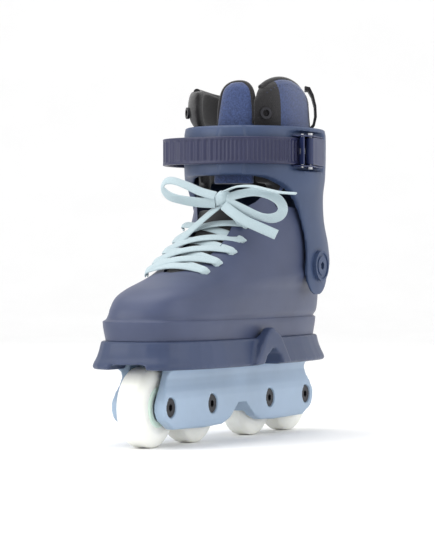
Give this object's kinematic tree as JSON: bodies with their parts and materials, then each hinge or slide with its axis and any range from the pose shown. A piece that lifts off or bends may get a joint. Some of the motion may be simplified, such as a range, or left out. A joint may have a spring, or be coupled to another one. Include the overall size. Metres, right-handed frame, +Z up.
{
  "type": "inline skate",
  "caption": "Left inline skate for grinding and street skating: moulded boot with hinged cuff, ratchet strap, laced liner, sole plate and wheel frame.",
  "frame": {"origin": "on the floor under the middle of the skate's bounding box, laces' free loops and ends left out", "axes": "+X to the outer side of the foot, -Y to the toe, +Z up"},
  "size_m": [0.1407, 0.2909, 0.2825],
  "materials": {
    "shell": "satin",
    "cuff": "satin",
    "strap": "satin",
    "sole": "satin",
    "frame": "satin",
    "urethane": "satin",
    "hub": "satin",
    "steel": "polished",
    "black_steel": "satin",
    "liner_cloth": "woven",
    "liner_black": "woven",
    "foam": "matte",
    "lace": "woven"
  },
  "bodies": {
    "boot": {"boot_shell": "shell", "pivot_washers": "steel", "pivot_nuts": "steel", "cuff_bolts": "cuff", "shock_absorber": "foam", "footbed": "foam", "liner_foot": "liner_black", "tongue_lower": "liner_black", "lace_laced": "lace", "lace_knot": "lace", "lace_loop_outer": "lace", "lace_loop_inner": "lace", "lace_tail_upper": "lace", "lace_tail_lower": "lace", "sole_plate": "sole", "sole_screws": "black_steel", "frame": "frame", "frame_bolts": "black_steel", "frame_nuts": "steel", "axle_bolts": "black_steel", "axle_sleeves": "black_steel", "bearing_spacers": "steel", "bearing_inner_rings": "steel"},
    "cuff_assembly": {"cuff": "cuff", "liner_collar": "liner_cloth", "tongue_upper": "liner_cloth", "pull_loop": "liner_black", "liner_eyelets": "steel", "ladder_strap": "strap", "strap_bolt": "black_steel", "strap_nut": "steel", "buckle_base": "black_steel", "buckle_rivets": "steel", "lever_pin": "steel", "pawl_pin": "steel", "pawl_spring": "steel"},
    "pawl": {"holding_pawl": "black_steel"},
    "lever": {"buckle_lever": "cuff"},
    "wheel_1": {"wheel_1_tyre": "urethane", "wheel_1_hub": "hub", "wheel_1_bearings": "steel", "wheel_1_balls": "steel"},
    "wheel_2": {"wheel_2_tyre": "urethane", "wheel_2_hub": "hub", "wheel_2_bearings": "steel", "wheel_2_balls": "steel"},
    "wheel_3": {"wheel_3_tyre": "urethane", "wheel_3_hub": "hub", "wheel_3_bearings": "steel", "wheel_3_balls": "steel"},
    "wheel_4": {"wheel_4_tyre": "urethane", "wheel_4_hub": "hub", "wheel_4_bearings": "steel", "wheel_4_balls": "steel"}
  },
  "joints": [
    {"name": "wheel_1_spin", "type": "hinge", "parent": "boot", "child": "wheel_1", "pos_m": [0, -0.1149, 0.03], "axis": [1, 0, 0], "continuous": true},
    {"name": "wheel_2_spin", "type": "hinge", "parent": "boot", "child": "wheel_2", "pos_m": [0, -0.0491, 0.03], "axis": [1, 0, 0], "continuous": true},
    {"name": "wheel_3_spin", "type": "hinge", "parent": "boot", "child": "wheel_3", "pos_m": [0, 0.0491, 0.03], "axis": [1, 0, 0], "continuous": true},
    {"name": "wheel_4_spin", "type": "hinge", "parent": "boot", "child": "wheel_4", "pos_m": [0, 0.1149, 0.03], "axis": [1, 0, 0], "continuous": true},
    {"name": "cuff_flex", "type": "hinge", "parent": "boot", "child": "cuff_assembly", "pos_m": [0, 0.076, 0.1345], "axis": [1, 0, 0], "range_deg": [-3, 6]},
    {"name": "lever_open", "type": "hinge", "parent": "cuff_assembly", "child": "lever", "pos_m": [0.0565, 0.0489, 0.2246], "axis": [0, 0, -1], "range_deg": [0, 75]},
    {"name": "pawl_release", "type": "hinge", "parent": "cuff_assembly", "child": "pawl", "pos_m": [0.055, 0.038, 0.2246], "axis": [0, 0, -1], "range_deg": [0, 18], "stiffness_Nm_per_rad": 0.05}
  ]
}
